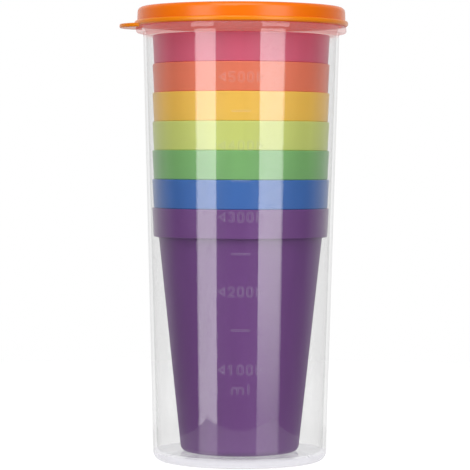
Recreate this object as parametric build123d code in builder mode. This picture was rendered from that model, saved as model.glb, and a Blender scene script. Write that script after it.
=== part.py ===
"""Measuring cup set: seven nesting cups in a clear measuring container with a press-on lid.

Millimetres, +Z up.  The origin is the centre of the container's foot ring, on the
surface that the set stands on.  The container's raised scale faces -Y, and the lid's
pull tab points along -X.
"""

from build123d import *
from math import acos, atan2, cos, degrees, hypot, pi, radians, sin, tan
import os

# ---------------------------------------------------------------- driving sizes
# Cups: one moulding, made in seven colours, named from the bottom of the stack up
CUP_NAMES = (
    "purple_cup",
    "blue_cup",
    "green_cup",
    "lime_cup",
    "yellow_cup",
    "orange_cup",
    "pink_cup",
)
CUP_HEIGHT = 92.0
RIM_RADIUS = 33.45         # outside of the collar at its top
COLLAR_HEIGHT = 10.85      # also how far each cup stands above the one it nests in
COLLAR_DRAFT = 3.1         # degrees
COLLAR_STEP = 1.95         # how far the collar stands out from the body under it
CUP_WALL = 0.8
NEST_GAP = 0.36            # between the bodies of two nested cups
LIP_GAP = 1.1              # between a nested body and the collar around it
CUP_FLOOR = 1.1
CUP_RECESS_DEPTH = 0.7     # hollow in the underside, inside the standing ring
CUP_RECESS_MARGIN = 4.0    # width of the standing ring, from the body's foot radius
CUP_HEEL_RADIUS = 2.4      # outside corner at the bottom
CUP_INNER_HEEL_RADIUS = 1.7
COLLAR_LOWER_RADIUS = 0.45
RIM_EDGE_RADIUS = 0.35
RIM_INNER_EDGE_RADIUS = 0.2

# Container
CUP_CLEARANCE = 0.6        # inside of the wall to the rim of the lowest cup
STACK_HEADROOM = 0.85      # from the rim of the top cup up to the flange
WALL_DRAFT = 1.56          # degrees, on the outside
WALL = 1.1                 # at the flange and in the neck
BASE_WALL = 1.4            # at the floor, where the wall is thickest
CONTAINER_FLOOR = 1.6
FOOT_HEIGHT = 1.8          # underside of the floor above the foot ring
FOOT_WIDTH = 2.2
HEEL_RADIUS = 3.2
INNER_HEEL_RADIUS = 2.1
FLANGE_THICKNESS = 2.35
FLANGE_WIDTH = 2.63        # how far it stands out from the wall
FLANGE_EDGE_RADIUS = 0.8
NECK_HEIGHT = 6.2
NECK_STEP = 0.86           # how much wider the neck is than the wall
NECK_EDGE_RADIUS = 0.35

# Raised scale on the container
SCALE_LABELS = ("100", "200", "300", "400", "500")    # millilitres, between arrowheads
SCALE_TICKS = ("150", "250", "350", "450")            # millilitres, as plain lines
SCALE_GAIN = 0.966         # the moulded scale runs a little closer than true volumes do
SCALE_START = 10.0         # millilitres that stand below its zero
MARK_STEP = 0.02           # upright foot of a mark's side, above the wall
MARK_HEIGHT = 0.23         # how far the mark stands above that foot
MARK_SINK = 0.35           # how far their roots reach into it
MARK_TAPER = 38            # degrees, the slope of their sides
STROKE = 0.72              # at the root
FIGURE_HEIGHT = 4.0
FIGURE_WIDTH = 2.6
FIGURE_PITCH = 3.4
SMALL_LETTER_HEIGHT = 2.9
SMALL_LETTER_WIDTH = 4.8
LETTER_GAP = 1.2           # between the two letters of the unit
TICK_LENGTH = 7.0
ARROW_WIDTH = 2.7
ARROW_HEIGHT = 3.7
ARROW_STROKE = 0.56
ARROW_GAP = 2.3            # from the last figure's middle to the arrow's base
UNIT_DROP = 7.6            # the unit's middle, under the lowest figures

# Lid
LID_CLEARANCE = 0.3        # lid skirt to neck, and lid to flange
LID_WALL = 1.1
LID_TOP = 1.2
LID_EDGE_RADIUS = 1.9
LID_FLARE = 0.2            # the skirt is this much wider at its bottom
BEAD_STAND = 1.0           # how far the bottom bead stands out of the skirt
BEAD_HEIGHT = 1.9
BEAD_EDGE_RADIUS = 0.7
PANEL_MARGIN = 4.3         # from the skirt to the shallow panel in the top
PANEL_DEPTH = 0.5
TAB_LENGTH = 5.7           # from the bead to the tip of the pull tab
TAB_RADIUS = 13.8
TAB_THICKNESS = 1.5
TAB_DROP = 0.8             # how far the tab hangs below the skirt
TAB_EDGE_RADIUS = 0.45

# ---------------------------------------------------------------- worked out
# A cup's body tapers just enough to nest one collar height deeper with NEST_GAP clear.
BODY_SLOPE = (CUP_WALL + NEST_GAP) / COLLAR_HEIGHT
COLLAR_SLOPE = tan(radians(COLLAR_DRAFT))
COLLAR_BOTTOM = CUP_HEIGHT - COLLAR_HEIGHT
COLLAR_BOTTOM_RADIUS = RIM_RADIUS - COLLAR_HEIGHT * COLLAR_SLOPE
BODY_TOP_RADIUS = COLLAR_BOTTOM_RADIUS - COLLAR_STEP
CUP_FOOT_RADIUS = BODY_TOP_RADIUS - COLLAR_BOTTOM * BODY_SLOPE
CUP_INNER_FLOOR = CUP_RECESS_DEPTH + CUP_FLOOR
CUP_REST = FOOT_HEIGHT + CONTAINER_FLOOR
LOWEST_RIM = CUP_REST + CUP_HEIGHT
SHOULDER_HEIGHT = LOWEST_RIM + (len(CUP_NAMES) - 1) * COLLAR_HEIGHT + STACK_HEADROOM
FLANGE_TOP = SHOULDER_HEIGHT + FLANGE_THICKNESS
CONTAINER_HEIGHT = FLANGE_TOP + NECK_HEIGHT

# The container's wall is thickest at the floor, and clears the lowest cup's rim.
WALL_SLOPE = tan(radians(WALL_DRAFT))
THINNING = (BASE_WALL - WALL) / (SHOULDER_HEIGHT - CUP_REST)
RIM_LEVEL_WALL = WALL + THINNING * (SHOULDER_HEIGHT - LOWEST_RIM)
BASE_RADIUS = RIM_RADIUS + CUP_CLEARANCE + RIM_LEVEL_WALL - LOWEST_RIM * WALL_SLOPE
INNER_SLOPE = WALL_SLOPE + THINNING
SHOULDER_RADIUS = BASE_RADIUS + SHOULDER_HEIGHT * WALL_SLOPE
FLOOR_RADIUS = BASE_RADIUS + CUP_REST * WALL_SLOPE - BASE_WALL
FLANGE_RADIUS = SHOULDER_RADIUS + FLANGE_WIDTH
NECK_RADIUS = SHOULDER_RADIUS + NECK_STEP

LID_BOTTOM = FLANGE_TOP + LID_CLEARANCE
LID_HEIGHT = CONTAINER_HEIGHT + LID_TOP
SKIRT_INNER_RADIUS = NECK_RADIUS + LID_CLEARANCE
SKIRT_RADIUS = SKIRT_INNER_RADIUS + LID_WALL
BEAD_RADIUS = SKIRT_RADIUS + BEAD_STAND
TAB_REACH = BEAD_RADIUS + TAB_LENGTH

os.makedirs("parts", exist_ok=True)


def body_radius(height):
    """Outside radius of a cup's body at a height above the cup's foot."""
    return CUP_FOOT_RADIUS + height * BODY_SLOPE


def wall_radius(height):
    """Outside radius of the container's wall at a height above the foot ring."""
    return BASE_RADIUS + height * WALL_SLOPE


def fill_height(millilitres):
    """Height that a volume fills the container to: its inside is a cone that widens upward."""
    cubed = FLOOR_RADIUS**3 + 3 * INNER_SLOPE * millilitres * 1000 / pi
    return CUP_REST + (cubed ** (1 / 3) - FLOOR_RADIUS) / INNER_SLOPE


def round_corner(section, corner, radius):
    """Rounds the corner of a section that lies at a point (radius, height)."""
    fillet(section.vertices().sort_by_distance((*corner, 0))[0], radius)


# ---------------------------------------------------------------- cups
with BuildPart() as cup:
    with BuildSketch(Plane.XZ) as cup_section:
        foot = (CUP_FOOT_RADIUS, 0)
        recess_edge = (CUP_FOOT_RADIUS - CUP_RECESS_MARGIN, 0)
        collar_lower_edge = (COLLAR_BOTTOM_RADIUS, COLLAR_BOTTOM)
        rim = (RIM_RADIUS, CUP_HEIGHT)
        rim_inner = (BODY_TOP_RADIUS + LIP_GAP, CUP_HEIGHT)
        inner_foot = (body_radius(CUP_INNER_FLOOR) - CUP_WALL, CUP_INNER_FLOOR)
        with BuildLine():
            Polyline(
                (0, CUP_RECESS_DEPTH),
                (recess_edge[0] - CUP_RECESS_DEPTH, CUP_RECESS_DEPTH),
                recess_edge,
                foot,
                (BODY_TOP_RADIUS, COLLAR_BOTTOM),
                collar_lower_edge,
                rim,
                rim_inner,
                (rim_inner[0] - COLLAR_HEIGHT * COLLAR_SLOPE, COLLAR_BOTTOM + CUP_WALL),
                (BODY_TOP_RADIUS - CUP_WALL, COLLAR_BOTTOM - CUP_WALL),
                inner_foot,
                (0, CUP_INNER_FLOOR),
                close=True,
            )
        make_face()
        round_corner(cup_section, foot, CUP_HEEL_RADIUS)
        round_corner(cup_section, inner_foot, CUP_INNER_HEEL_RADIUS)
        round_corner(cup_section, collar_lower_edge, COLLAR_LOWER_RADIUS)
        round_corner(cup_section, rim, RIM_EDGE_RADIUS)
        round_corner(cup_section, rim_inner, RIM_INNER_EDGE_RADIUS)
    revolve(axis=Axis.Z)

for level, name in enumerate(CUP_NAMES):
    with BuildPart() as nested:
        with Locations((0, 0, CUP_REST + level * COLLAR_HEIGHT)):
            add(cup.part)
    nested.part.label = name
    export_step(nested.part, f"parts/{name}.step")


# ---------------------------------------------------------------- figures of the scale
# Each one is drawn about its own middle, as a centre line that becomes a rounded stroke.
def stroke(path):
    """Adds the stroke that follows a centre line to the sketch that is open."""
    SlotArc(path.wire(), STROKE)


def figure_zero():
    with BuildSketch() as figure:
        SlotOverall(FIGURE_HEIGHT, FIGURE_WIDTH, rotation=90)
        SlotOverall(FIGURE_HEIGHT - 2 * STROKE, FIGURE_WIDTH - 2 * STROKE, 90, mode=Mode.SUBTRACT)
    return figure.sketch


def figure_one():
    top = (FIGURE_HEIGHT - STROKE) / 2
    flag = FIGURE_WIDTH / 3
    with BuildSketch() as figure:
        with BuildLine(mode=Mode.PRIVATE) as path:
            Polyline((-flag, top - flag), (0, top), (0, -top))
        stroke(path)
    return figure.sketch


def figure_two():
    top = (FIGURE_HEIGHT - STROKE) / 2
    side = (FIGURE_WIDTH - STROKE) / 2
    drop = 2 * top - side
    # The slanting line leaves the crown where it touches the crown's circle.
    touch = degrees(acos(side / hypot(side, drop)) - atan2(drop, -side))
    with BuildSketch() as figure:
        with BuildLine(mode=Mode.PRIVATE) as path:
            crown = CenterArc((0, top - side), side, 170, touch - 170)
            Line(crown @ 1, (-side, -top))
        stroke(path)
        with BuildLine(mode=Mode.PRIVATE) as foot:
            Line((-side, -top), (side, -top))
        stroke(foot)
    return figure.sketch


def figure_three():
    bend = (FIGURE_HEIGHT - STROKE) / 4
    with BuildSketch() as figure:
        with BuildLine(mode=Mode.PRIVATE) as path:
            CenterArc((0, bend), bend, 150, -240)
            CenterArc((0, -bend), bend, 90, -240)
        stroke(path)
    return figure.sketch


def figure_four():
    top = (FIGURE_HEIGHT - STROKE) / 2
    side = (FIGURE_WIDTH - STROKE) / 2
    stem = side / 2
    with BuildSketch() as figure:
        with BuildLine(mode=Mode.PRIVATE) as path:
            Polyline((stem, -top), (stem, top), (-side, -stem))
        stroke(path)
        with BuildLine(mode=Mode.PRIVATE) as bar:
            Line((-side, -stem), (side, -stem))
        stroke(bar)
    return figure.sketch


def figure_five():
    top = (FIGURE_HEIGHT - STROKE) / 2
    side = (FIGURE_WIDTH - STROKE) / 2
    with BuildSketch() as figure:
        with BuildLine(mode=Mode.PRIVATE) as path:
            bowl = CenterArc((0, side - top), side, -150, 240)
            Polyline(bowl @ 1, (-side, 2 * side - top), (-side, top), (side, top))
        stroke(path)
    return figure.sketch


def letter_m():
    side = (SMALL_LETTER_HEIGHT - STROKE) / 2
    arch = (SMALL_LETTER_WIDTH - STROKE) / 4
    with BuildSketch() as letter:
        for middle in (-arch, arch):
            with BuildLine(mode=Mode.PRIVATE) as path:
                Line((middle - arch, -side), (middle - arch, side - arch))
                CenterArc((middle, side - arch), arch, 180, -180)
                Line((middle + arch, side - arch), (middle + arch, -side))
            stroke(path)
    return letter.sketch


def letter_l():
    foot_level = -SMALL_LETTER_HEIGHT / 2
    with BuildSketch() as letter:
        with Locations((0, foot_level + FIGURE_HEIGHT / 2)):
            SlotOverall(FIGURE_HEIGHT, STROKE, rotation=90)
    return letter.sketch


def arrowhead():
    """A triangle in outline that points along -X, with its base on the Y axis."""
    half = ARROW_HEIGHT / 2
    with BuildSketch() as arrow:
        Polygon((0, half), (-ARROW_WIDTH, 0), (0, -half), align=None)
        offset(amount=-ARROW_STROKE, mode=Mode.SUBTRACT)
    return arrow.sketch


FIGURES = {
    "0": figure_zero(),
    "1": figure_one(),
    "2": figure_two(),
    "3": figure_three(),
    "4": figure_four(),
    "5": figure_five(),
}
ARROW = arrowhead()


def mark_height(label):
    """Height of the mark that carries a label."""
    return fill_height(SCALE_START + SCALE_GAIN * float(label))


def label_signs(label):
    """Figures of a label with an arrowhead on each side, as (sketch, offset along the wall)."""
    last = (len(label) - 1) / 2 * FIGURE_PITCH
    signs = [(FIGURES[sign], place * FIGURE_PITCH - last) for place, sign in enumerate(label)]
    return [(ARROW, -last - ARROW_GAP), *signs, (mirror(ARROW, about=Plane.YZ), last + ARROW_GAP)]


def unit_signs():
    """The letters ml, side by side about the middle of the scale."""
    width = SMALL_LETTER_WIDTH + LETTER_GAP + STROKE
    return [(letter_m(), (SMALL_LETTER_WIDTH - width) / 2), (letter_l(), (width - STROKE) / 2)]


def tangent_plane(offset, height):
    """Plane that touches the wall at a height, at an offset around it from the scale's middle."""
    turn = offset / wall_radius(height)
    outward = Vector(sin(turn), -cos(turn), 0)
    return Plane(
        origin=outward * wall_radius(height) + Vector(0, 0, height),
        x_dir=(cos(turn), sin(turn), 0),
        z_dir=outward - Vector(0, 0, WALL_SLOPE),
    )


# ---------------------------------------------------------------- container
with BuildSketch() as tick:
    SlotOverall(TICK_LENGTH, STROKE)

marks = [(sign, offset, mark_height(label)) for label in SCALE_LABELS
         for sign, offset in label_signs(label)]
marks += [(tick.sketch, 0, mark_height(label)) for label in SCALE_TICKS]
marks += [(sign, offset, mark_height(SCALE_LABELS[0]) - UNIT_DROP) for sign, offset in unit_signs()]

with BuildPart() as scale:
    for sign, offset, height in marks:
        with BuildSketch(tangent_plane(offset, height).offset(MARK_STEP)) as outline:
            add(sign)
        extrude(amount=MARK_HEIGHT, taper=MARK_TAPER)
        extrude(outline.sketch, amount=-MARK_SINK)

with BuildPart() as container:
    with BuildSketch(Plane.XZ) as container_section:
        foot = (BASE_RADIUS, 0)
        foot_inner = (BASE_RADIUS - HEEL_RADIUS - FOOT_WIDTH, 0)
        flange_lower_edge = (FLANGE_RADIUS, SHOULDER_HEIGHT)
        flange_upper_edge = (FLANGE_RADIUS, FLANGE_TOP)
        neck = (NECK_RADIUS, CONTAINER_HEIGHT)
        neck_inner = (NECK_RADIUS - WALL, CONTAINER_HEIGHT)
        inner_foot = (FLOOR_RADIUS, CUP_REST)
        with BuildLine():
            Polyline(
                (0, FOOT_HEIGHT),
                (foot_inner[0] - FOOT_HEIGHT, FOOT_HEIGHT),
                foot_inner,
                foot,
                (SHOULDER_RADIUS, SHOULDER_HEIGHT),
                flange_lower_edge,
                flange_upper_edge,
                (NECK_RADIUS, FLANGE_TOP),
                neck,
                neck_inner,
                (NECK_RADIUS - WALL, FLANGE_TOP),
                (SHOULDER_RADIUS - WALL, SHOULDER_HEIGHT),
                inner_foot,
                (0, CUP_REST),
                close=True,
            )
        make_face()
        round_corner(container_section, foot, HEEL_RADIUS)
        round_corner(container_section, inner_foot, INNER_HEEL_RADIUS)
        round_corner(container_section, flange_lower_edge, FLANGE_EDGE_RADIUS)
        round_corner(container_section, flange_upper_edge, FLANGE_EDGE_RADIUS / 2)
        round_corner(container_section, neck, NECK_EDGE_RADIUS)
        round_corner(container_section, neck_inner, NECK_EDGE_RADIUS)
    revolve(axis=Axis.Z)
    add(scale.part)
container.part.label = "container"
export_step(container.part, "parts/container.step")

# ---------------------------------------------------------------- lid
with BuildPart() as tab:
    with BuildSketch(Plane.XY.offset(LID_BOTTOM - TAB_DROP)):
        with Locations((TAB_RADIUS - TAB_REACH, 0)):
            Circle(TAB_RADIUS)
    extrude(amount=TAB_THICKNESS)
    fillet(tab.edges(), TAB_EDGE_RADIUS)
    # The flange of the container comes up inside the tab's root.
    with BuildSketch(Plane.XY.offset(LID_BOTTOM - TAB_DROP)):
        Circle(FLANGE_RADIUS + LID_CLEARANCE)
    extrude(amount=TAB_DROP, mode=Mode.SUBTRACT)
    with BuildSketch(Plane.XY.offset(LID_BOTTOM)):
        Circle(SKIRT_INNER_RADIUS)
    extrude(amount=TAB_THICKNESS, mode=Mode.SUBTRACT)

with BuildPart() as lid:
    with BuildSketch(Plane.XZ) as lid_section:
        top_edge = (SKIRT_RADIUS - LID_FLARE, LID_HEIGHT)
        panel_edge = (top_edge[0] - PANEL_MARGIN, LID_HEIGHT)
        bead_lower_edge = (BEAD_RADIUS, LID_BOTTOM)
        bead_upper_edge = (BEAD_RADIUS, LID_BOTTOM + BEAD_HEIGHT)
        with BuildLine():
            Polyline(
                (0, CONTAINER_HEIGHT),
                (SKIRT_INNER_RADIUS, CONTAINER_HEIGHT),
                (SKIRT_INNER_RADIUS, LID_BOTTOM),
                bead_lower_edge,
                bead_upper_edge,
                (SKIRT_RADIUS, LID_BOTTOM + BEAD_HEIGHT),
                top_edge,
                panel_edge,
                (panel_edge[0] - PANEL_DEPTH, LID_HEIGHT - PANEL_DEPTH),
                (0, LID_HEIGHT - PANEL_DEPTH),
                close=True,
            )
        make_face()
        round_corner(lid_section, top_edge, LID_EDGE_RADIUS)
        round_corner(lid_section, bead_lower_edge, BEAD_EDGE_RADIUS)
        round_corner(lid_section, bead_upper_edge, BEAD_EDGE_RADIUS)
    revolve(axis=Axis.Z)
    add(tab.part)
lid.part.label = "lid"
export_step(lid.part, "parts/lid.step")
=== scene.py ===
"""Measuring cup set: materials, studio and camera, laid out as an add-on.

Seven nesting cups stand in a clear container under an orange press-on lid.
Lengths are in metres, unless a name or a comment says millimetres.
"""

import math
import bmesh
import bpy
from bpy.props import FloatProperty, FloatVectorProperty, PointerProperty
from mathutils import Matrix, Vector


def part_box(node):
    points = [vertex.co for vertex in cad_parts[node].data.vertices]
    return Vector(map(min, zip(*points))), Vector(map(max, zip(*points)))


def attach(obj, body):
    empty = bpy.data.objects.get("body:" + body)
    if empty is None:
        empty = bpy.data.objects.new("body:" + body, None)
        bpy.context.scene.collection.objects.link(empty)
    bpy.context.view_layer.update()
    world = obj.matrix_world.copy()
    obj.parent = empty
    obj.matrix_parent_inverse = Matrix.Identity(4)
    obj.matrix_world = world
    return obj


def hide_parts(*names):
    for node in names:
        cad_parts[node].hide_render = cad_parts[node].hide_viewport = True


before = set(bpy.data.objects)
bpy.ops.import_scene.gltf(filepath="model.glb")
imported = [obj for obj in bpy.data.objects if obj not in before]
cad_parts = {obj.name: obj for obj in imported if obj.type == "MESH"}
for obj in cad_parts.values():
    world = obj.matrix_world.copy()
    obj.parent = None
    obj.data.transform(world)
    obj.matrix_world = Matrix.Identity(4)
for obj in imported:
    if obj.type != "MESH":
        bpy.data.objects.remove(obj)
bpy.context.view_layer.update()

MM = 0.001

bl_info = {
    "name": "Measuring Cup Set",
    "version": (1, 0, 0),
    "blender": (4, 5, 0),
    "location": "3D View > Sidebar > Cup Set",
    "description": "Finishes a set of nesting measuring cups in a clear container with a lid",
    "category": "Object",
}


def linear(hex_colour):
    """Scene-linear RGBA of an sRGB colour written as #rrggbb."""
    channels = [int(hex_colour[i:i + 2], 16) / 255 for i in (1, 3, 5)]
    return [c / 12.92 if c <= 0.04045 else ((c + 0.055) / 1.055) ** 2.4 for c in channels] + [1.0]


# ---------------------------------------------------------------- settings
def colour_setting(name, description, hex_colour):
    return FloatVectorProperty(
        name=name, description=description, subtype="COLOR", size=4, min=0.0, max=1.0,
        default=linear(hex_colour),
    )


class CupSettings(bpy.types.PropertyGroup):
    """Colours and finish of the seven cups"""

    purple: colour_setting("Purple", "Pigment of the lowest cup", "#7b4890")
    blue: colour_setting("Blue", "Pigment of the second cup", "#3e75c3")
    green: colour_setting("Green", "Pigment of the third cup", "#87c277")
    lime: colour_setting("Lime", "Pigment of the fourth cup", "#d9e27f")
    yellow: colour_setting("Yellow", "Pigment of the fifth cup", "#fcd057")
    orange: colour_setting("Orange", "Pigment of the sixth cup", "#f28461")
    pink: colour_setting("Pink", "Pigment of the top cup", "#df6483")
    roughness: FloatProperty(
        name="Roughness", description="Satin of the moulded wall", default=0.42, min=0.0, max=1.0)
    glow: FloatProperty(
        name="Glow", description="Share of the light that passes through the wall",
        default=0.25, min=0.0, max=1.0, subtype="FACTOR")


class ContainerSettings(bpy.types.PropertyGroup):
    """Clear wall of the container, its flange, base and raised scale"""

    tint: colour_setting("Tint", "What one surface of the clear plastic lets through", "#fefefe")
    # Painted warm tint: the flange tints what shows through it pink, in place of the light of the
    # lid and the pink cup beside it
    painted_warm_flange_tint: colour_setting(
        "Flange tint", "The same for the flange, warmed by the lid and the cup beside it",
        "#fbf0ee")
    haze: FloatProperty(
        name="Haze", description="Share of the light that one surface scatters", default=0.014,
        min=0.0, max=1.0, subtype="FACTOR")
    flange_haze: FloatProperty(
        name="Flange haze", description="The same, for the thick flange", default=0.18,
        min=0.0, max=1.0, subtype="FACTOR")
    base_haze: FloatProperty(
        name="Base haze", description="The same, for the thick base", default=0.45,
        min=0.0, max=1.0, subtype="FACTOR")
    mark_haze: FloatProperty(
        name="Mark haze", description="The same, for the raised scale", default=0.05,
        min=0.0, max=1.0, subtype="FACTOR")
    # Painted glow: the colour of an emission that lights the base and the slopes of the scale
    # from within
    painted_glow_colour: colour_setting(
        "Gathered light", "Light that a thick place gathers and gives back", "#f6f4ff")
    # Painted glow of the flange: the warm pink colour of an emission, in place of the light of
    # the lid and the pink cup
    painted_flange_glow_colour: colour_setting(
        "Flange glow", "The same, gathered by the flange from the lid and the cup beside it",
        "#ff8686")
    # Strength of the flange's painted glow
    painted_flange_glow: FloatProperty(
        name="Flange light", description="Strength of the flange's glow", default=0.042, min=0.0)
    # Strength of the base's painted glow, an emission that lightens the thick base
    painted_base_glow: FloatProperty(
        name="Base light", description="Strength of the light that the base gathers",
        default=0.15, min=0.0)
    # Strength of the painted highlight on the slopes of the raised scale, an emission
    painted_mark_highlight: FloatProperty(
        name="Mark light", description="The same, for the slopes of the raised scale",
        default=0.08, min=0.0)
    roughness: FloatProperty(
        name="Roughness", description="Polish of the clear wall", default=0.03, min=0.0, max=1.0)
    ior: FloatProperty(
        name="IOR", description="Refractive index of clarified polypropylene",
        default=1.49, min=1.0, max=2.0)


class LidSettings(bpy.types.PropertyGroup):
    """Soft lid"""

    colour: colour_setting("Colour", "Pigment of the lid", "#e06a06")
    # Painted highlight: the bead and the tab are painted lighter and yellower than the lid
    bead_highlight_colour: colour_setting("Edge colour", "The same, for the bead and the tab", "#dd7b08")
    roughness: FloatProperty(
        name="Roughness", description="Satin of the soft lid", default=0.27, min=0.0, max=1.0)
    glow: FloatProperty(
        name="Glow", description="Share of the light that passes through the thin top",
        default=0.95, min=0.0, max=1.0, subtype="FACTOR")
    # Painted glow: strength of an emission of the pigment on the lid's faces that look inwards
    painted_inner_glow: FloatProperty(
        name="Inner light", description="Light that passes through the skirt to its inner face",
        default=0.24, min=0.0)


class StageSettings(bpy.types.PropertyGroup):
    """Studio around the set"""

    camera_distance: FloatProperty(
        name="Camera distance", description="From the set's axis", default=0.9015, unit="LENGTH")
    eye_height: FloatProperty(
        name="Eye height", description="Camera above the floor", default=0.1135, unit="LENGTH")
    camera_tilt: FloatProperty(
        name="Tilt", description="Downward tilt of the camera", default=math.radians(1.8),
        subtype="ANGLE")
    camera_roll: FloatProperty(
        name="Roll", description="Roll of the camera", default=math.radians(-0.22),
        subtype="ANGLE")
    lens: FloatProperty(
        name="Lens", description="Focal length on a 36 mm sensor, in millimetres", default=182.3)
    front_level: FloatProperty(
        name="Front level", description="Brightness of the dark half of the studio", default=0.05)
    back_level: FloatProperty(
        name="Back level", description="Brightness of the white half of the studio", default=1.0)
    softbox_light: FloatProperty(
        name="Softboxes", description="Radiance of each softbox, where white is 1", default=4.4)
    key_light: FloatProperty(
        name="Key", description="Radiance of the overhead lamp, where white is 1", default=4.8)
    table_front: FloatProperty(
        name="Table front", description="From the set's axis to the front edge of the table",
        default=0.117, unit="LENGTH")
    table_level: FloatProperty(
        name="Table level", description="Brightness of the table in the gloss", default=0.9)
    table_glow: FloatProperty(
        name="Table glow", description="What the table adds to its own light to look white",
        default=0.77)


# ---------------------------------------------------------------- helpers
def add_node(tree, kind, inputs=None, **settings):
    """Adds a node, sets its attributes, and sets or links its inputs by name or number."""
    node = tree.nodes.new(kind)
    for name, value in settings.items():
        setattr(node, name, value)
    for name, value in (inputs or {}).items():
        if isinstance(value, bpy.types.NodeSocket):
            tree.links.new(value, node.inputs[name])
        else:
            node.inputs[name].default_value = value
    return node


def new_material(name):
    material = bpy.data.materials.new(name)
    material.use_nodes = True
    material.node_tree.nodes.clear()
    return material, material.node_tree


def set_material(node_name, material):
    """Gives a CAD node its finish."""
    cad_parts[node_name].material_slots[0].material = material


def add_object(name, data):
    """Links a new object that holds the data."""
    piece = bpy.data.objects.new(name, data)
    bpy.context.scene.collection.objects.link(piece)
    return piece


# ---------------------------------------------------------------- materials
BEAD_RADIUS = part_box("lid")[1][0]
FLOW_WIDTH = 9 * MM                  # of the faint flow lines in a cup's wall
FLOW_LENGTH = 70 * MM
FLOW_PALE = 1.06                     # how far the pigment swings along them
FLOW_DEEP = 0.95
GRAIN = 0.8 * MM                     # of the eroded mould
GRAIN_DEPTH = 0.05 * MM
CLEAR_MILK = linear("#cfcfd2")       # what the haze of the clear plastic looks like
LEVEL_FACE = 0.6                     # rise of a normal from which a face counts as level
# The lid's painted inner glow is full where a face looks inwards and ends where it looks aside
INWARD_FACE = (-0.9, -0.5)           # a normal along its spoke: looks inwards, looks aside
TOP_TO_EYE = 0.1                     # share of light through the lid's top that the eye sees


def add_grain(tree, place, strength):
    """The fine relief of an eroded mould: its noise and its bumped normal."""
    grain = add_node(tree, "ShaderNodeTexNoise", {
        "Vector": place, "Scale": 1 / GRAIN, "Detail": 2.0}).outputs["Fac"]
    bump = add_node(tree, "ShaderNodeBump", {
        "Height": grain, "Strength": strength, "Distance": GRAIN_DEPTH})
    return grain, bump.outputs["Normal"]


def moulded_polypropylene(name, colour, roughness, glow):
    """Pigmented polypropylene at about a millimetre: satin from a fine eroded mould,
    a little light through the wall, and faint upright flow lines from the gate in the foot."""
    material, tree = new_material(name)
    place = add_node(tree, "ShaderNodeTexCoord").outputs["Object"]
    flow_space = add_node(tree, "ShaderNodeMapping", {
        "Vector": place, "Scale": (1 / FLOW_WIDTH, 1 / FLOW_WIDTH, 1 / FLOW_LENGTH)})
    flow = add_node(tree, "ShaderNodeTexNoise", {
        "Vector": flow_space.outputs["Vector"], "Scale": 1.0, "Detail": 3.0, "Roughness": 0.5})
    cloud = add_node(tree, "ShaderNodeMapRange", {
        "Value": flow.outputs["Fac"], "From Min": 0.3, "From Max": 0.7})
    pale = [min(1.0, c * FLOW_PALE + 0.004) for c in colour[:3]] + [1.0]
    deep = [c * FLOW_DEEP for c in colour[:3]] + [1.0]
    pigment = add_node(tree, "ShaderNodeMix", {
        "Factor": cloud.outputs["Result"], "A": deep, "B": pale},
        data_type="RGBA").outputs["Result"]
    grain, normal = add_grain(tree, place, 0.03)
    polish = add_node(tree, "ShaderNodeMapRange", {
        "Value": grain, "From Min": 0.3, "From Max": 0.7,
        "To Min": roughness - 0.05, "To Max": roughness + 0.05})
    wall = add_node(tree, "ShaderNodeBsdfPrincipled", {
        "Base Color": pigment, "Roughness": polish.outputs["Result"], "IOR": 1.49,
        "Normal": normal})
    through = add_node(tree, "ShaderNodeBsdfTranslucent", {"Color": pigment, "Normal": normal})
    both = add_node(tree, "ShaderNodeMixShader", {
        0: glow, 1: wall.outputs[0], 2: through.outputs[0]})
    add_node(tree, "ShaderNodeOutputMaterial", {"Surface": both.outputs[0]})
    return material


def clear_polypropylene(name, tint, haze, edge_haze, most_shine, glow, gathered, roughness,
                        ior):
    """Clarified polypropylene moulded in a polished tool: sharp reflections that grow towards
    the edges up to a share `most_shine`, over a thin wall that is faintly milky, and more so,
    up to `edge_haze`, where it is seen edge on. Thick places get a painted glow and slopes a
    painted highlight: an emission of the colour `glow` at the strength `gathered`, no lamp."""
    material, tree = new_material(name)
    inside = add_node(tree, "ShaderNodeNewGeometry").outputs["Backfacing"]
    bend = add_node(tree, "ShaderNodeMapRange", {
        "Value": inside, "To Min": ior, "To Max": 1 / ior})
    fresnel = add_node(tree, "ShaderNodeFresnel", {"IOR": bend.outputs["Result"]})
    shine = add_node(tree, "ShaderNodeMath", {
        0: fresnel.outputs[0], 1: most_shine}, operation="MINIMUM")
    facing = add_node(tree, "ShaderNodeLayerWeight", {"Blend": 0.5}).outputs["Facing"]
    depth = add_node(tree, "ShaderNodeMapRange", {
        "Value": facing, "From Min": 0.8, "From Max": 1.0, "To Min": haze, "To Max": edge_haze})
    clear = add_node(tree, "ShaderNodeBsdfTransparent", {"Color": tint})
    onwards = add_node(tree, "ShaderNodeBsdfTranslucent", {"Color": CLEAR_MILK})
    backwards = add_node(tree, "ShaderNodeBsdfDiffuse", {"Color": CLEAR_MILK})
    scatter = add_node(tree, "ShaderNodeMixShader", {
        0: 0.5, 1: onwards.outputs[0], 2: backwards.outputs[0]})
    wall = add_node(tree, "ShaderNodeMixShader", {
        0: depth.outputs["Result"], 1: clear.outputs[0], 2: scatter.outputs[0]})
    polish = add_node(tree, "ShaderNodeBsdfGlossy", {"Roughness": roughness})
    both = add_node(tree, "ShaderNodeMixShader", {
        0: shine.outputs[0], 1: wall.outputs[0], 2: polish.outputs[0]})
    # Painted glow: an emission added to the clear plastic at the strength `gathered`, no lamp
    painted_glow = add_node(tree, "ShaderNodeEmission", {"Color": glow, "Strength": gathered})
    surface = add_node(tree, "ShaderNodeAddShader", {0: both.outputs[0], 1: painted_glow.outputs[0]})
    add_node(tree, "ShaderNodeOutputMaterial", {"Surface": surface.outputs[0]})
    return material


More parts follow.
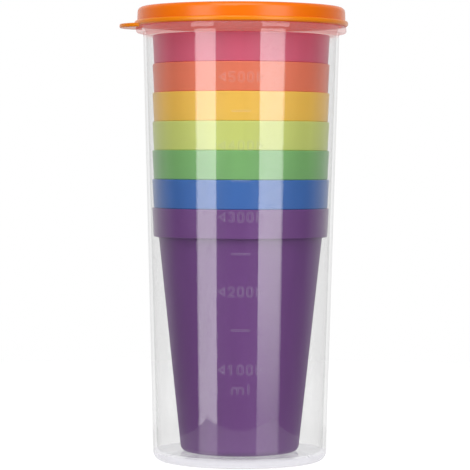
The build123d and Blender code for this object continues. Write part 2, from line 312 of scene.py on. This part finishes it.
def moulded_polyethylene(name, colour, bead_highlight_colour, roughness, glow, painted_inner_glow):
    """Soft low-density polyethylene: waxy satin with a broad sheen. Light passes through the
    thin top. The faces that look inwards carry a painted warm glow, an emission of the pigment
    in place of light through the skirt. The bead and the tab are painted lighter and yellower,
    a painted highlight."""
    material, tree = new_material(name)
    place = add_node(tree, "ShaderNodeTexCoord").outputs["Object"]
    normal = add_grain(tree, place, 0.12)[1]
    radial = add_node(tree, "ShaderNodeVectorMath", {
        0: place, 1: (1, 1, 0)}, operation="MULTIPLY")
    reach = add_node(tree, "ShaderNodeVectorMath", {0: radial.outputs[0]}, operation="LENGTH")
    # Painted highlight: the outer ring, the bead and the tab, takes the lighter, yellower colour
    edge = add_node(tree, "ShaderNodeMapRange", {
        "Value": reach.outputs["Value"], "From Min": BEAD_RADIUS - 0.8 * MM,
        "From Max": BEAD_RADIUS - 0.3 * MM})
    pigment = add_node(tree, "ShaderNodeMix", {
        "Factor": edge.outputs["Result"], "A": colour, "B": bead_highlight_colour},
        data_type="RGBA").outputs["Result"]
    wall = add_node(tree, "ShaderNodeBsdfPrincipled", {
        "Base Color": pigment, "Roughness": roughness, "IOR": 1.51,
        "Specular IOR Level": 0.28, "Normal": normal})
    facing = add_node(tree, "ShaderNodeNewGeometry").outputs["True Normal"]
    upward = add_node(tree, "ShaderNodeSeparateXYZ", {0: facing}).outputs["Z"]
    level = add_node(tree, "ShaderNodeMath", {0: upward}, operation="ABSOLUTE")
    spoke = add_node(tree, "ShaderNodeVectorMath", {0: radial.outputs[0]}, operation="NORMALIZE")
    outward = add_node(tree, "ShaderNodeVectorMath", {
        0: spoke.outputs[0], 1: facing}, operation="DOT_PRODUCT")
    # Painted glow: full on faces that look inwards, none on faces that look aside
    painted_inner_glow_strength = add_node(tree, "ShaderNodeMapRange", {
        "Value": outward.outputs["Value"], "From Min": INWARD_FACE[0],
        "From Max": INWARD_FACE[1], "To Min": painted_inner_glow, "To Max": 0.0})
    seen = add_node(tree, "ShaderNodeLightPath").outputs["Is Camera Ray"]
    most = add_node(tree, "ShaderNodeMapRange", {
        "Value": seen, "To Min": 0.5 + glow / 2, "To Max": TOP_TO_EYE})
    share = add_node(tree, "ShaderNodeMapRange", {
        "Value": level.outputs[0], "From Min": LEVEL_FACE, "From Max": 1.0,
        "To Max": most.outputs["Result"]})
    through = add_node(tree, "ShaderNodeBsdfTranslucent", {"Color": colour})
    both = add_node(tree, "ShaderNodeMixShader", {
        0: share.outputs["Result"], 1: wall.outputs[0], 2: through.outputs[0]})
    # Painted glow: an emission of the pigment, no lamp
    passed = add_node(tree, "ShaderNodeEmission", {
        "Color": colour, "Strength": painted_inner_glow_strength.outputs["Result"]})
    surface = add_node(tree, "ShaderNodeAddShader", {0: both.outputs[0], 1: passed.outputs[0]})
    add_node(tree, "ShaderNodeOutputMaterial", {"Surface": surface.outputs[0]})
    return material


# ---------------------------------------------------------------- cups and lid
class CUPSET_OT_cups(bpy.types.Operator):
    """Finish the seven nesting cups"""

    bl_idname = "cupset.cups"
    bl_label = "Cups"

    def execute(self, context):
        settings = context.scene.cup_set_cups
        for name in ("purple", "blue", "green", "lime", "yellow", "orange", "pink"):
            material = moulded_polypropylene(
                f"moulded polypropylene, {name}", getattr(settings, name),
                settings.roughness, settings.glow)
            set_material(f"{name}_cup", material)
        return {"FINISHED"}


class CUPSET_OT_lid(bpy.types.Operator):
    """Finish the lid"""

    bl_idname = "cupset.lid"
    bl_label = "Lid"

    def execute(self, context):
        settings = context.scene.cup_set_lid
        set_material("lid", moulded_polyethylene(
            "moulded polyethylene, orange", settings.colour, settings.bead_highlight_colour,
            settings.roughness, settings.glow, settings.painted_inner_glow))
        return {"FINISHED"}


# ---------------------------------------------------------------- container
# The container's section in millimetres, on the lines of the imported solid.
CONTAINER_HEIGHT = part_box("container")[1][2] / MM
FLANGE_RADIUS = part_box("container")[1][0] / MM
CUP_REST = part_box("purple_cup")[0][2] / MM    # top of the container's floor
FLANGE_WIDTH = 2.63
FLANGE_THICKNESS = 2.35
FLANGE_EDGE_RADIUS = 0.8
NECK_HEIGHT = 6.2
NECK_STEP = 0.86
NECK_EDGE_RADIUS = 0.35
WALL = 1.1                  # at the flange and in the neck
BASE_WALL = 1.4             # at the floor
WALL_DRAFT = 1.56           # degrees
FOOT_HEIGHT = 1.8
FOOT_WIDTH = 2.2
HEEL_RADIUS = 3.2
INNER_HEEL_RADIUS = 2.1
FLANGE_TOP = CONTAINER_HEIGHT - NECK_HEIGHT
SHOULDER_HEIGHT = FLANGE_TOP - FLANGE_THICKNESS
SHOULDER_RADIUS = FLANGE_RADIUS - FLANGE_WIDTH
# From here up, the wall takes the flange's finish, with its painted warm tint and painted glow
MILKY_HEIGHT = SHOULDER_HEIGHT - 1.0    # the flange's look starts here, just under it
TURNED_STEPS = 288
ARC_STEPS = 8
HOLD = 0.25                 # how near to a bend the last ring of a straight run lies
SHARP_EDGE = math.radians(30)
MARK_CLEAR = 0.1            # what stands out from the wall by more is part of the scale
# A face that is a slope of a mark gets the painted highlight
MARK_SLOPE = 0.9            # below this share of outward facing, a face is a slope of a mark

# How the clear plastic looks at each place, beside what the settings say.
MOST_SHINE = 0.35
FLANGE_SHINE = 0.15
EDGE_HAZE = {"wall": 0.11, "flange": 0.35, "base": 0.55, "scale": 0.15}


def wall_radius(height):
    """Outside radius of the container's wall at a height, in millimetres."""
    return SHOULDER_RADIUS - (SHOULDER_HEIGHT - height) * math.tan(math.radians(WALL_DRAFT))


def container_section():
    """Corners of the section as (radius, height, rounding), from the axis out, up and back."""
    neck = SHOULDER_RADIUS + NECK_STEP
    foot_inner = wall_radius(0) - HEEL_RADIUS - FOOT_WIDTH
    return (
        (0, FOOT_HEIGHT, 0),
        (foot_inner - FOOT_HEIGHT, FOOT_HEIGHT, 0),
        (foot_inner, 0, 0),
        (wall_radius(0), 0, HEEL_RADIUS),
        (wall_radius(MILKY_HEIGHT), MILKY_HEIGHT, 0),
        (SHOULDER_RADIUS, SHOULDER_HEIGHT, 0),
        (FLANGE_RADIUS, SHOULDER_HEIGHT, FLANGE_EDGE_RADIUS),
        (FLANGE_RADIUS, FLANGE_TOP, FLANGE_EDGE_RADIUS / 2),
        (neck, FLANGE_TOP, 0),
        (neck, CONTAINER_HEIGHT, NECK_EDGE_RADIUS),
        (neck - WALL, CONTAINER_HEIGHT, NECK_EDGE_RADIUS),
        (neck - WALL, FLANGE_TOP, 0),
        (SHOULDER_RADIUS - WALL, SHOULDER_HEIGHT, 0),
        (wall_radius(MILKY_HEIGHT) - WALL, MILKY_HEIGHT, 0),
        (wall_radius(CUP_REST) - BASE_WALL, CUP_REST, INNER_HEEL_RADIUS),
        (0, CUP_REST, 0),
    )


def round_corner(before, corner, after, radius):
    """Points of the arc that rounds a corner, from the run before it to the run after it."""
    corner = Vector(corner)
    back = (Vector(before) - corner).normalized()
    ahead = (Vector(after) - corner).normalized()
    half = back.angle(ahead) / 2
    middle = corner + (back + ahead).normalized() * radius / math.sin(half)
    start = corner + back * radius / math.tan(half) - middle
    turn = -start.angle_signed(corner + ahead * radius / math.tan(half) - middle)
    return [middle + Matrix.Rotation(turn * i / ARC_STEPS, 2) @ start
            for i in range(ARC_STEPS + 1)]


def section_outline(section):
    """The section's outline with its arcs, and with a ring close to both ends of each run."""
    outline = [Vector(section[0][:2])]
    for before, corner, after in zip(section, section[1:], section[2:]):
        if corner[2]:
            outline += round_corner(before[:2], corner[:2], after[:2], corner[2])
        else:
            outline.append(Vector(corner[:2]))
    outline.append(Vector(section[-1][:2]))
    held = [outline[0]]
    for start, end in zip(outline, outline[1:]):
        run = end - start
        if run.length > 4 * HOLD:
            held += [start + run.normalized() * HOLD, end - run.normalized() * HOLD]
        held.append(end)
    return held


def turned_mesh(name, outline, steps):
    """A closed surface of revolution. The outline starts and ends on the axis, in millimetres."""
    mesh = bmesh.new()
    poles = [mesh.verts.new((0, 0, point.y * MM)) for point in (outline[0], outline[-1])]
    rings = []
    for point in outline[1:-1]:
        turns = (math.tau * i / steps for i in range(steps))
        rings.append([mesh.verts.new((point.x * MM * math.cos(a), point.x * MM * math.sin(a),
                                      point.y * MM)) for a in turns])
    for i in range(steps):
        j = (i + 1) % steps
        mesh.faces.new((poles[0], rings[0][j], rings[0][i]))
        for low, high in zip(rings, rings[1:]):
            mesh.faces.new((low[i], low[j], high[j], high[i]))
        mesh.faces.new((poles[1], rings[-1][i], rings[-1][j]))
    bmesh.ops.recalc_face_normals(mesh, faces=mesh.faces)
    return finished_mesh(name, mesh)


def finished_mesh(name, mesh):
    """Mesh data from a bmesh, smooth but for its sharp edges."""
    data = bpy.data.meshes.new(name)
    mesh.to_mesh(data)
    mesh.free()
    data.shade_smooth()
    data.set_sharp_from_angle(angle=SHARP_EDGE)
    return data


def scale_mesh(name):
    """The raised figures, arrowheads and lines alone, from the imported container."""
    mesh = bmesh.new()
    mesh.from_mesh(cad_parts["container"].data)

    def stands_out(vertex):
        height = vertex.co.z / MM
        radius = math.hypot(vertex.co.x, vertex.co.y) / MM
        return (HEEL_RADIUS < height < SHOULDER_HEIGHT - 1
                and radius > wall_radius(height) + MARK_CLEAR)

    plain = [face for face in mesh.faces if not any(stands_out(v) for v in face.verts)]
    bmesh.ops.delete(mesh, geom=plain, context="FACES")
    return finished_mesh(name, mesh)


def clear_finish(settings, place, haze, gathered=0.0):
    """What the clear plastic's material is given at one kind of place."""
    return {
        "tint": settings.tint, "haze": haze, "edge_haze": EDGE_HAZE[place],
        # `gathered` is the strength of the painted glow
        "most_shine": MOST_SHINE, "glow": settings.painted_glow_colour, "gathered": gathered,
        "roughness": settings.roughness, "ior": settings.ior,
    }


class CUPSET_OT_container(bpy.types.Operator):
    """Turn the clear container, and finish it and its raised scale"""

    bl_idname = "cupset.container"
    bl_label = "Container"

    def execute(self, context):
        settings = context.scene.cup_set_container
        wall = turned_mesh("container_wall", section_outline(container_section()), TURNED_STEPS)
        scale = scale_mesh("container_scale")
        for mesh, place, finish in (
                (wall, "wall", clear_finish(settings, "wall", settings.haze)),
                # The flange: more haze, a painted warm tint and a painted warm glow
                (wall, "flange", {
                    **clear_finish(settings, "flange", settings.flange_haze,
                                   settings.painted_flange_glow),
                    "tint": settings.painted_warm_flange_tint, "glow": settings.painted_flange_glow_colour,
                    "most_shine": FLANGE_SHINE}),
                # The base: more haze and a painted glow
                (wall, "base", clear_finish(
                    settings, "base", settings.base_haze, settings.painted_base_glow)),
                (scale, "faces of the scale", clear_finish(
                    settings, "scale", settings.mark_haze)),
                # The slopes of the scale: a painted highlight, an emission
                (scale, "slopes of the scale", clear_finish(
                    settings, "scale", settings.mark_haze, settings.painted_mark_highlight))):
            mesh.materials.append(clear_polypropylene(
                f"clarified polypropylene, {place}", **finish))
        # Faces above MILKY_HEIGHT take the flange's finish and faces below CUP_REST the base's,
        # both with a painted glow
        for face in wall.polygons:
            height = face.center.z / MM
            face.material_index = 1 if height > MILKY_HEIGHT else 2 * (height < CUP_REST)
        # The slopes of the marks take the finish with the painted highlight
        for face in scale.polygons:
            outward = Vector((face.center.x, face.center.y, 0)).normalized()
            face.material_index = int(face.normal.dot(outward) < MARK_SLOPE)
        for mesh in (wall, scale):
            piece = add_object(mesh.name, mesh)
            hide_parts("container")
            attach(piece, "container")
        return {"FINISHED"}


# ---------------------------------------------------------------- studio
FLOOR_RADIUS = 0.45
FLOOR_CORNERS = 96
POLISH_SIDE = 0.095
CAMERA_SIDE = -2.18 * MM             # of the set's axis, + to the right
SOFTBOX_DISTANCE = 1.12
SOFTBOX_TOP = 0.86
# Name, azimuth in degrees, width, lower end, and height over which that end fades out
SOFTBOXES = (
    ("softbox_left", -42.5, 0.50, -0.28, 0.12),
    ("softbox_right", 37.0, 0.60, -0.27, 0.24),
)


def seen_directly(tree):
    """1 for the camera's rays and those that passed through glass, 0 for all others."""
    path = add_node(tree, "ShaderNodeLightPath")
    return add_node(tree, "ShaderNodeMath", {
        0: path.outputs["Is Camera Ray"], 1: path.outputs["Is Transmission Ray"]},
        operation="MAXIMUM").outputs[0]


def add_floor(radius, glow):
    """A white table. It takes the shadow, and looks white to the camera and through glass."""
    mesh = bpy.data.meshes.new("floor")
    corners = [(radius * math.cos(a), radius * math.sin(a), 0.0)
               for a in (math.tau * i / FLOOR_CORNERS for i in range(FLOOR_CORNERS))]
    mesh.from_pydata(corners, [], [range(FLOOR_CORNERS)])
    floor = add_object("floor", mesh)
    material, tree = new_material("white table")
    strength = add_node(tree, "ShaderNodeMath", {
        0: seen_directly(tree), 1: glow}, operation="MULTIPLY")
    table = add_node(tree, "ShaderNodeBsdfDiffuse", {"Color": linear("#a8a8a8")})
    light = add_node(tree, "ShaderNodeEmission", {"Strength": strength.outputs[0]})
    both = add_node(tree, "ShaderNodeAddShader", {0: table.outputs[0], 1: light.outputs[0]})
    add_node(tree, "ShaderNodeOutputMaterial", {"Surface": both.outputs[0]})
    mesh.materials.append(material)
    floor.visible_glossy = False


def add_polish(front, side, level):
    """The polished part of the table around the set, white acrylic as the gloss shows it: it
    ends not far in front of the set, and passes on the softboxes at a low angle."""
    mesh = bpy.data.meshes.new("polish")
    mesh.from_pydata([(-side, -front, 0.0), (side, -front, 0.0), (side, side, 0.0),
                      (-side, side, 0.0)], [], [range(4)])
    polish = add_object("polish", mesh)
    material, tree = new_material("white acrylic")
    shine = add_node(tree, "ShaderNodeFresnel", {"IOR": 1.49})
    white = add_node(tree, "ShaderNodeEmission", {"Strength": level})
    mirror = add_node(tree, "ShaderNodeBsdfGlossy", {"Roughness": 0.03})
    both = add_node(tree, "ShaderNodeMixShader", {
        0: shine.outputs[0], 1: white.outputs[0], 2: mirror.outputs[0]})
    add_node(tree, "ShaderNodeOutputMaterial", {"Surface": both.outputs[0]})
    mesh.materials.append(material)
    polish.visible_camera = polish.visible_diffuse = polish.visible_shadow = False
    polish.visible_transmission = False


def add_world(front_level, back_level):
    """A white half of the studio behind the set and a dark half in front of it."""
    world = bpy.data.worlds.new("studio")
    world.use_nodes = True
    tree = world.node_tree
    tree.nodes.clear()
    direction = add_node(tree, "ShaderNodeTexCoord").outputs["Generated"]
    depth = add_node(tree, "ShaderNodeSeparateXYZ", {0: direction}).outputs["Y"]
    level = add_node(tree, "ShaderNodeMapRange", {
        "Value": depth, "From Min": 0.0, "From Max": 0.9,
        "To Min": front_level, "To Max": back_level})
    strength = add_node(tree, "ShaderNodeMath", {
        0: level.outputs["Result"], 1: seen_directly(tree)}, operation="MAXIMUM")
    light = add_node(tree, "ShaderNodeBackground", {
        "Color": linear("#ffffff"), "Strength": strength.outputs[0]})
    add_node(tree, "ShaderNodeOutputWorld", {"Surface": light.outputs[0]})
    bpy.context.scene.world = world


def add_lamp(name, azimuth, elevation, distance, width, height, middle, radiance, foot=0.0):
    """A rectangular lamp that faces the set's axis at the height `middle`, and fades out over
    the lowest part `foot` of its height. Azimuth 0 is straight in front, + to the right."""
    light = bpy.data.lights.new(name, "AREA")
    light.shape = "RECTANGLE"
    light.size = width
    light.size_y = height
    light.energy = radiance * math.pi * width * height
    light.use_nodes = True
    tree = light.node_tree
    tree.nodes.clear()
    place = add_node(tree, "ShaderNodeNewGeometry").outputs["Parametric"]
    rise = add_node(tree, "ShaderNodeSeparateXYZ", {0: place}).outputs["Y"]
    fade = add_node(tree, "ShaderNodeMapRange", {
        "Value": rise, "From Min": 0.0, "From Max": max(foot, 1e-6)},
        interpolation_type="SMOOTHSTEP")
    glow = add_node(tree, "ShaderNodeEmission", {"Strength": fade.outputs["Result"]})
    add_node(tree, "ShaderNodeOutputLight", {"Surface": glow.outputs[0]})
    lamp = add_object(name, light)
    reach = distance * math.cos(elevation)
    lamp.location = (reach * math.sin(azimuth), -reach * math.cos(azimuth),
                     middle + distance * math.sin(elevation))
    lamp.rotation_euler = (math.pi / 2 - elevation, 0, azimuth)


class CUPSET_OT_stage(bpy.types.Operator):
    """Set up the studio and the camera"""

    bl_idname = "cupset.stage"
    bl_label = "Studio"

    def execute(self, context):
        settings = context.scene.cup_set_stage
        add_floor(FLOOR_RADIUS, settings.table_glow)
        add_polish(settings.table_front, POLISH_SIDE, settings.table_level)
        add_world(settings.front_level, settings.back_level)
        for name, azimuth, width, low, foot in SOFTBOXES:
            add_lamp(name, math.radians(azimuth), 0.0, SOFTBOX_DISTANCE, width,
                     SOFTBOX_TOP - low, (SOFTBOX_TOP + low) / 2, settings.softbox_light, foot)
        add_lamp("overhead_key", azimuth=math.radians(-4), elevation=math.radians(54),
                 distance=1.1, width=0.9, height=0.6, middle=0.09,
                 radiance=settings.key_light)
        camera = bpy.data.cameras.new("camera")
        camera.sensor_width = 36
        camera.lens = settings.lens
        rig = add_object("camera", camera)
        rig.location = (CAMERA_SIDE, -settings.camera_distance, settings.eye_height)
        rig.rotation_euler = (math.pi / 2 - settings.camera_tilt, settings.camera_roll, 0)
        context.scene.camera = rig
        context.scene.view_settings.view_transform = "Standard"
        return {"FINISHED"}


# ---------------------------------------------------------------- add-on
class CUPSET_PT_panel(bpy.types.Panel):
    """Operators of the set, in the order in which they run"""

    bl_idname = "CUPSET_PT_panel"
    bl_label = "Measuring Cup Set"
    bl_space_type = "VIEW_3D"
    bl_region_type = "UI"
    bl_category = "Cup Set"

    def draw(self, context):
        for operator in OPERATORS:
            self.layout.operator(operator.bl_idname)


SETTINGS = {
    "cup_set_cups": CupSettings,
    "cup_set_container": ContainerSettings,
    "cup_set_lid": LidSettings,
    "cup_set_stage": StageSettings,
}
OPERATORS = (CUPSET_OT_stage, CUPSET_OT_container, CUPSET_OT_cups, CUPSET_OT_lid)


def register():
    for cls in (*SETTINGS.values(), *OPERATORS, CUPSET_PT_panel):
        bpy.utils.register_class(cls)
    for name, cls in SETTINGS.items():
        setattr(bpy.types.Scene, name, PointerProperty(type=cls))


def unregister():
    for name in SETTINGS:
        delattr(bpy.types.Scene, name)
    for cls in reversed((*SETTINGS.values(), *OPERATORS, CUPSET_PT_panel)):
        bpy.utils.unregister_class(cls)


def main():
    register()
    bpy.ops.cupset.stage()
    bpy.ops.cupset.container()
    bpy.ops.cupset.cups()
    bpy.ops.cupset.lid()


if __name__ == "__main__":
    main()
